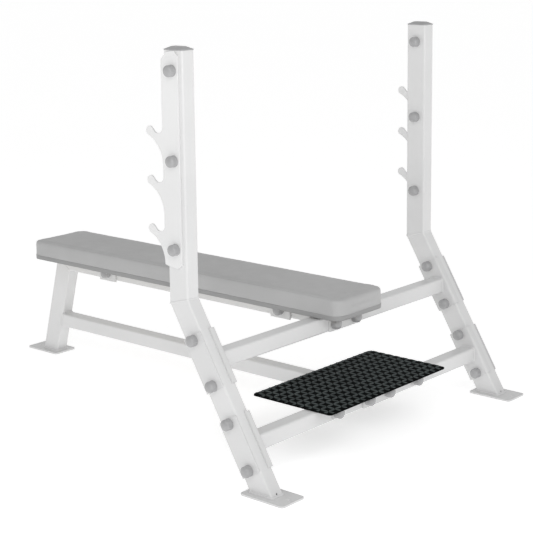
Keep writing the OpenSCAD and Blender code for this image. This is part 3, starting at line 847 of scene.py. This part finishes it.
@dataclass
class TreadStep:
    """The spotter's step: a black tread plate with crossed rows of raised bars."""

    field_paint: bpy.types.Material
    bar_paint: bpy.types.Material
    pitch: float = 0.0315
    shift: tuple[float, float] = (0.009, 0.006)
    bar_length: float = 0.0290
    bar_width: float = 0.0110
    bar_height: float = 0.0016
    bar_point: float = 0.35
    shoulder: float = 0.55
    shoulder_scale: Colour = (0.96, 0.88, 1.0)
    crown_scale: Colour = (0.82, 0.62, 1.0)
    corner: float = 0.012
    edge: float = 0.001
    trim_inset: float = 0.0004
    outline_points: int = 16

    def plate(self) -> bpy.types.Object:
        """Makes the plate under the bars.

        Returns:
            The plate.
        """
        lo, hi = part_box("step_plate")
        bm = bmesh.new()
        bmesh.ops.create_cube(bm, size=1.0)
        bmesh.ops.transform(bm, matrix=Matrix.Translation((lo + hi) / 2) @ Matrix.Diagonal((*(hi - lo), 1.0)),
                            verts=bm.verts)
        upright = [e for e in bm.edges if abs(e.verts[0].co.z - e.verts[1].co.z) > 0.001]
        bmesh.ops.bevel(bm, geom=upright, offset=self.corner, segments=8, profile=0.5, affect="EDGES",
                        material=-1)
        rims = [e for e in bm.edges if e.calc_face_angle(0.0) > 1.2]
        bmesh.ops.bevel(bm, geom=rims, offset=self.edge, segments=3, profile=0.5, affect="EDGES", material=-1)
        return finish_piece(bm, "step_tread_plate", self.field_paint)

    def bar(self) -> bpy.types.Mesh:
        """Makes one raised bar, along X on its own origin.

        Returns:
            The bar's mesh.
        """
        bm = bmesh.new()
        rim = bmesh.ops.create_circle(bm, cap_ends=True, segments=self.outline_points, radius=1.0)["verts"]
        for vert in rim:
            x, y = vert.co.x, vert.co.y
            taper = abs(y) ** self.bar_point
            vert.co = Vector((x * self.bar_length / 2, y * taper * self.bar_width / 2, -self.edge))
        top = bmesh.ops.extrude_face_region(bm, geom=bm.faces[:])["geom"]
        high = [v for v in top if isinstance(v, bmesh.types.BMVert)]
        bmesh.ops.translate(bm, vec=(0, 0, self.edge + self.bar_height * self.shoulder), verts=high)
        bmesh.ops.scale(bm, vec=self.shoulder_scale, verts=high)
        cap = [f for f in top if isinstance(f, bmesh.types.BMFace)]
        crown = bmesh.ops.extrude_face_region(bm, geom=cap)["geom"]
        high = [v for v in crown if isinstance(v, bmesh.types.BMVert)]
        bmesh.ops.translate(bm, vec=(0, 0, self.bar_height * (1.0 - self.shoulder)), verts=high)
        bmesh.ops.scale(bm, vec=self.crown_scale, verts=high)
        bmesh.ops.delete(bm, geom=cap, context="FACES_ONLY")
        bmesh.ops.recalc_face_normals(bm, faces=bm.faces)
        mesh = bpy.data.meshes.new("bar")
        bm.to_mesh(mesh)
        bm.free()
        return mesh

    def bars(self) -> bpy.types.Object:
        """Lays the bars out over the plate and trims them at its edges.

        Returns:
            The bars.
        """
        lo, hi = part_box("step_plate")
        mid = (lo + hi) / 2
        unit = self.bar()
        bm = bmesh.new()
        start = Vector((mid.x + self.shift[0], mid.y + self.shift[1] + self.pitch / 2, hi.z))
        many = math.ceil((hi.x - lo.x) / 2 / self.pitch) + 1
        inset = self.edge + self.trim_inset
        for i in range(-many, many + 1):
            for j in range(-many, many + 1):
                for half in (0, 1):
                    at = start + Vector(((i + half / 2) * self.pitch, (j + half / 2) * self.pitch, 0.0))
                    reach = (self.bar_length if half == 0 else self.bar_width) / 2
                    deep = (self.bar_width if half == 0 else self.bar_length) / 2
                    if not (lo.x - reach < at.x < hi.x + reach and lo.y - deep < at.y < hi.y + deep):
                        continue
                    near_x = min(at.x - lo.x, hi.x - at.x)
                    near_y = min(at.y - lo.y, hi.y - at.y)
                    if near_x < self.corner and near_y < self.corner:
                        continue
                    count = len(bm.verts)
                    bm.from_mesh(unit)
                    bm.verts.ensure_lookup_table()
                    turn = Matrix.Rotation(math.radians(90 * half), 4, "Z")
                    bmesh.ops.transform(bm, matrix=Matrix.Translation(at) @ turn, verts=bm.verts[count:])
        for point, normal in ((lo.x + inset, (-1, 0, 0)), (hi.x - inset, (1, 0, 0)),
                              (lo.y + inset, (0, -1, 0)), (hi.y - inset, (0, 1, 0))):
            where = Vector((point, 0, 0)) if normal[0] else Vector((0, point, 0))
            cut = bmesh.ops.bisect_plane(bm, geom=bm.verts[:] + bm.edges[:] + bm.faces[:], plane_co=where,
                                         plane_no=normal, clear_outer=True, dist=0.000001)["geom_cut"]
            open_edges = [e for e in cut
                          if isinstance(e, bmesh.types.BMEdge) and e.is_valid and e.is_boundary]
            bmesh.ops.holes_fill(bm, edges=open_edges, sides=0)
        bpy.data.meshes.remove(unit)
        return finish_piece(bm, "step_tread_bars", self.bar_paint, crease=28.0)

    def build(self) -> None:
        """Makes the step."""
        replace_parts(self.plate(), "step_plate")
        self.bars()


# ---------- the bench pad ----------

COVER_CLOTH = {"quality": 5, "mass": 0.4, "tension_stiffness": 40, "compression_stiffness": 40,
               "shear_stiffness": 20, "bending_stiffness": 4}


@dataclass
class BenchPad:
    """The long pad: foam under a stretched vinyl cover, a trim round the board's edge, and a stapled hem."""

    vinyl: bpy.types.Material
    trim_vinyl_painted_shade: bpy.types.Material
    zinc: bpy.types.Material
    corner: float = 0.036
    top_edge: float = 0.0065
    trim_height: float = 0.0145
    trim_depth: float = 0.0028
    tuck: float = 0.0008
    shrink: float = 0.0012
    voxel: float = 0.006
    frames: int = 20
    pressure: float = 4.0
    most: float = 0.0040
    give: float = 0.15
    pull_reach: float = 0.45
    scallop: float = 0.0004
    pleats: float = 26.0
    pleat_depth: float = 0.0005
    sag: float = 0.0005
    trim_gap: float = 0.0004
    hem_width: float = 0.022
    hem_thick: float = 0.0012
    staple_gap: float = 0.032
    staple: tuple[float, float, float] = (0.0115, 0.0009, 0.0005)
    staple_edge: float = 0.0002

    def block(self) -> bpy.types.Object:
        """Makes the foam's block, a little smaller than the finished pad.

        Returns:
            A scratch object with the block's mesh.
        """
        lo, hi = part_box("pad_cushion")
        lo = lo + Vector((self.shrink, self.shrink, self.trim_height * 0.4))
        hi = hi - Vector((self.shrink, self.shrink, self.shrink))
        bm = bmesh.new()
        bmesh.ops.create_cube(bm, size=1.0)
        bmesh.ops.transform(bm, matrix=Matrix.Translation((lo + hi) / 2) @ Matrix.Diagonal((*(hi - lo), 1.0)),
                            verts=bm.verts)
        upright = [e for e in bm.edges if abs(e.verts[0].co.z - e.verts[1].co.z) > 0.001]
        bmesh.ops.bevel(bm, geom=upright, offset=self.corner - self.shrink, segments=10, profile=0.5,
                        affect="EDGES", material=-1)
        rim = [e for e in bm.edges if e.calc_face_angle(0.0) > 1.2 and e.verts[0].co.z > (lo.z + hi.z) / 2]
        bmesh.ops.bevel(bm, geom=rim, offset=self.top_edge, segments=5, profile=0.5, affect="EDGES",
                        material=-1)
        mesh = bpy.data.meshes.new("pad_block")
        bm.to_mesh(mesh)
        bm.free()
        obj = bpy.data.objects.new("pad_block", mesh)
        bpy.context.scene.collection.objects.link(obj)
        return obj

    @staticmethod
    def evaluated(obj: bpy.types.Object) -> bpy.types.Mesh:
        """Returns a new mesh with the object's modifiers applied."""
        graph = bpy.context.evaluated_depsgraph_get()
        return bpy.data.meshes.new_from_object(obj.evaluated_get(graph))

    def inflate(self, obj: bpy.types.Object) -> None:
        """Lets the cover swell over the foam, held at the board.

        Args:
            obj: The block, whose mesh is changed.
        """
        remesh = obj.modifiers.new("voxels", "REMESH")
        remesh.mode = "VOXEL"
        remesh.voxel_size = self.voxel
        remesh.use_smooth_shade = True
        obj.data = self.evaluated(obj)
        obj.modifiers.clear()
        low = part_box("pad_cushion")[0].z + self.trim_height
        start = [(v.co.copy(), v.normal.copy()) for v in obj.data.vertices]
        pinned = obj.vertex_groups.new(name="board")
        pinned.add([v.index for v in obj.data.vertices if v.co.z < low + 0.002], 1.0, "REPLACE")
        cloth = obj.modifiers.new("cover", "CLOTH")
        for key, value in COVER_CLOTH.items():
            setattr(cloth.settings, key, value)
        cloth.settings.use_pressure = True
        cloth.settings.uniform_pressure_force = self.pressure
        cloth.settings.vertex_group_mass = "board"
        cloth.settings.effector_weights.gravity = 0
        cloth.point_cache.frame_start = 1
        cloth.point_cache.frame_end = self.frames
        for step in range(1, self.frames + 1):
            bpy.context.scene.frame_set(step)
        obj.data = self.evaluated(obj)
        obj.modifiers.clear()
        for vert, (origin, normal) in zip(obj.data.vertices, start):
            moved = vert.co - origin
            sunk = min(0.0, moved.dot(normal))
            moved -= normal * sunk * (1.0 - self.give)
            vert.co = origin + moved * min(1.0, self.most / max(moved.length, 1e-6))
        bpy.context.scene.frame_set(1)

    def pulls(self, co: Vector, normal: Vector, lo: Vector, hi: Vector) -> float:
        """Gives how far the cover sinks where the staples and the corners pull it.

        Args:
            co: A point of the cover.
            normal: The cover's normal there.
            lo: The pad's lowest corner.
            hi: The pad's highest corner.

        Returns:
            The distance to move along the normal.
        """
        low = lo.z + self.trim_height
        height = (co.z - low) / (hi.z - low)
        near = max(0.0, 1.0 - max(0.0, height) / self.pull_reach) ** 2 * max(0.0, 1.0 - abs(normal.z) * 1.4)
        corner = Vector((max(0.0, abs(co.x) - (hi.x - self.corner)),
                         max(0.0, abs(co.y - (lo.y + hi.y) / 2) - ((hi.y - lo.y) / 2 - self.corner)), 0.0))
        turn = math.atan2(corner.y, corner.x) if corner.length > 0.001 else 0.0
        bent = min(corner.x, corner.y) / self.corner * 2.2
        along = co.y if abs(normal.x) > abs(normal.y) else co.x
        scallop = 0.5 + 0.5 * math.cos(2 * math.pi * along / self.staple_gap)
        ripple = math.sin(turn * self.pleats) * min(1.0, bent)
        soft = noise.noise(co * 16.0) * self.sag
        return soft - near * (self.scallop * scallop * (1 - min(1.0, bent)) + self.pleat_depth * ripple)

    def cover(self) -> bpy.types.Object:
        """Makes the cover.

        Returns:
            The cover.
        """
        block = self.block()
        self.inflate(block)
        smooth = block.modifiers.new("finer", "SUBSURF")
        smooth.levels = smooth.render_levels = 1
        fine = self.evaluated(block)
        bm = bmesh.new()
        bm.from_mesh(fine)
        bpy.data.meshes.remove(fine)
        bpy.data.objects.remove(block)
        bm.normal_update()
        lo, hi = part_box("pad_cushion")
        low = lo.z + self.trim_height
        shifts = {v: v.normal * self.pulls(v.co, v.normal, lo, hi) for v in bm.verts}
        for vert, shift in shifts.items():
            vert.co += shift
            if vert.co.z < low:
                side = Vector((vert.normal.x, vert.normal.y, 0.0))
                vert.co -= side * min(1.0, (low - vert.co.z) / 0.002) * self.tuck
        piece = finish_piece(bm, "pad_cover", self.vinyl, crease=80.0)
        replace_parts(piece, "pad_cushion")
        return piece

    def outline(self, inset: float, z: float) -> Loop:
        """Gives the pad's outline, moved inwards.

        Args:
            inset: How far inside the pad's outline the path runs.
            z: The path's height.

        Returns:
            The path.
        """
        lo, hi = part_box("pad_cushion")
        mid = Vector(((lo.x + hi.x) / 2, (lo.y + hi.y) / 2, z))
        width, depth = hi.x - lo.x - 2 * inset, hi.y - lo.y - 2 * inset
        return Loop(mid, Vector((1, 0, 0)), Vector((0, 1, 0)), width, depth, self.corner - inset)

    def trim(self) -> None:
        """Makes the trim over the board's edge, its darker vinyl painted shade along the pad's lower edge."""
        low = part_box("pad_cushion")[0].z
        bm = bmesh.new()
        half = self.trim_height / 2 - 0.0002

        def outline(c: float, s: float) -> tuple[float, float]:
            """Gives a point of the trim's outline, a rounded strip.

            Args:
                c: Cosine of the point's direction.
                s: Its sine.

            Returns:
                The point's place outwards and sideways.
            """
            return (math.copysign(abs(c) ** 0.55, c) * self.trim_depth / 2,
                    math.copysign(abs(s) ** 0.35, s) * half)

        path = self.outline(self.trim_depth / 2 + self.trim_gap, low + self.trim_height / 2)
        sweep(bm, path.stations(0.004), outline, 20)
        finish_piece(bm, "pad_edge_trim", self.trim_vinyl_painted_shade, crease=50.0)

    def hem(self) -> None:
        """Makes the hem under the board, with its staples."""
        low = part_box("pad_cushion")[0].z
        bm = bmesh.new()

        def outline(c: float, s: float) -> tuple[float, float]:
            """Gives a point of the hem's outline, a flat strip.

            Args:
                c: Cosine of the point's direction.
                s: Its sine.

            Returns:
                The point's place outwards and sideways.
            """
            return (math.copysign(abs(c) ** 0.3, c) * self.hem_width / 2,
                    math.copysign(abs(s) ** 0.5, s) * self.hem_thick / 2)

        path = self.outline(self.hem_width / 2 + 0.001, low - self.hem_thick / 2)
        stations = path.stations(0.005)
        sweep(bm, stations, outline, 16, lambda i: 1.0 + 0.05 * noise.noise(stations[i][0] * 30.0))
        finish_piece(bm, "pad_hem", self.vinyl, crease=50.0)
        bm = bmesh.new()
        travelled = 0.0
        for (point, normal, travel), (after, _, _) in zip(stations, stations[1:]):
            travelled += (after - point).length
            if travelled < self.staple_gap:
                continue
            travelled = 0.0
            made = bmesh.ops.create_cube(bm, size=1.0)["verts"]
            skew = Matrix.Rotation(0.25 * noise.noise(point * 90.0), 3, "Z")
            turned = skew @ Matrix((travel, normal, travel.cross(normal))).transposed()
            place = Matrix.Translation(point - Vector((0, 0, self.hem_thick / 2))) @ turned.to_4x4()
            bmesh.ops.transform(bm, matrix=place @ Matrix.Diagonal((*self.staple, 1.0)), verts=made)
        bmesh.ops.bevel(bm, geom=bm.edges[:], offset=self.staple_edge, segments=1, profile=0.5,
                        affect="EDGES", material=-1)
        finish_piece(bm, "pad_staples", self.zinc, crease=60.0)

    def build(self) -> None:
        """Makes the pad."""
        self.cover()
        self.trim()
        self.hem()


# ---------- the studio ----------


@dataclass
class Studio:
    """A pale floor, soft lights and the camera."""

    lens: float = 99.0
    place: Colour = (-3.6114, -3.4392, 1.6270)
    yaw: float = 48.966
    pitch: float = 10.748
    roll: float = 0.712
    rise: float = -0.1248
    floor_size: float = 60.0
    sky_strength: float = 0.66
    sky_levels: tuple[tuple[float, float], ...] = ((0.0, 1.0), (0.8, 0.92))
    lamps: tuple[tuple[str, Colour, Colour, float, float], ...] = (
        ("key", (-2.3, -1.6, 2.0), (-0.6, -0.5, 1.35), 1.4, 12.0),
        ("fill", (-0.4, -3.4, 1.9), (0.0, -0.5, 0.6), 1.8, 10.0),
        ("front", (-3.3, -3.5, 1.1), (0.0, -0.4, 0.6), 0.5, 12.0),
    )

    def camera(self) -> None:
        """Makes the camera."""
        data = bpy.data.cameras.new("camera")
        data.sensor_width = 36.0
        data.lens = self.lens
        data.shift_y = self.rise
        data.clip_end = 200.0
        cam = bpy.data.objects.new("camera", data)
        bpy.context.scene.collection.objects.link(cam)
        cam.matrix_world = (Matrix.Translation(self.place)
                            @ Matrix.Rotation(math.radians(-self.yaw), 4, "Z")
                            @ Matrix.Rotation(math.radians(90 - self.pitch), 4, "X")
                            @ Matrix.Rotation(math.radians(-self.roll), 4, "Z"))
        bpy.context.scene.camera = cam

    def floor(self) -> None:
        """Makes the floor."""
        bm = bmesh.new()
        bmesh.ops.create_grid(bm, x_segments=4, y_segments=4, size=self.floor_size / 2)
        mesh = bpy.data.meshes.new("floor")
        bm.to_mesh(mesh)
        bm.free()
        floor = bpy.data.objects.new("floor", mesh)
        bpy.context.scene.collection.objects.link(floor)
        floor.data.materials.append(StudioFloor("studio_floor", (0.93, 0.93, 0.93), 0.42).build())

    def light(self, name: str, place: Colour, aim: Colour, size: float, watts: float) -> None:
        """Adds a soft square light.

        Args:
            name: The light's name.
            place: Where it hangs.
            aim: The point that it faces.
            size: The length of its sides.
            watts: Its power.
        """
        data = bpy.data.lights.new(name, "AREA")
        data.size = size
        data.energy = watts
        lamp = bpy.data.objects.new(name, data)
        bpy.context.scene.collection.objects.link(lamp)
        lamp.location = place
        lamp.rotation_euler = (Vector(aim) - Vector(place)).to_track_quat("-Z", "Y").to_euler()

    def sky(self) -> None:
        """Makes the soft light from all round, weaker from above."""
        world = bpy.data.worlds.new("studio")
        world.use_nodes = True
        tree = world.node_tree
        tree.nodes.clear()
        place = tree.nodes.new("ShaderNodeTexCoord")
        split = tree.nodes.new("ShaderNodeSeparateXYZ")
        ramp = tree.nodes.new("ShaderNodeValToRGB")
        back = tree.nodes.new("ShaderNodeBackground")
        out = tree.nodes.new("ShaderNodeOutputWorld")
        elements = ramp.color_ramp.elements
        for element, (height, level) in zip(elements, self.sky_levels):
            element.position = height
            element.color = (level, level, level, 1.0)
        back.inputs["Strength"].default_value = self.sky_strength
        tree.links.new(place.outputs["Generated"], split.inputs["Vector"])
        tree.links.new(split.outputs["Z"], ramp.inputs["Fac"])
        tree.links.new(ramp.outputs["Color"], back.inputs["Color"])
        tree.links.new(back.outputs["Background"], out.inputs["Surface"])
        bpy.context.scene.world = world
        bpy.context.scene.view_settings.view_transform = "Standard"

    def build(self) -> None:
        """Sets the studio up."""
        self.camera()
        self.floor()
        self.sky()
        for lamp in self.lamps:
            self.light(*lamp)


def main() -> None:
    """Builds the bench and reports its pieces."""
    logging.basicConfig(level=logging.INFO, format="%(name)s: %(message)s")
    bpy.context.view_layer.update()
    Studio().build()
    paint = FramePaint()
    paint.build()
    WeldBeads(paint.materials[Slot.FRAME]).build()
    BoltCaps(paint.materials[Slot.BOLT_CAP]).build()
    TreadStep(paint.materials[Slot.STEP], TREAD_BARS_WEAR_AND_HIGHLIGHT.build()).build()
    BenchPad(paint.materials[Slot.PAD], TRIM_VINYL_PAINTED_SHADE.build(), paint.materials[Slot.ZINC]).build()


if __name__ == "__main__":
    main()
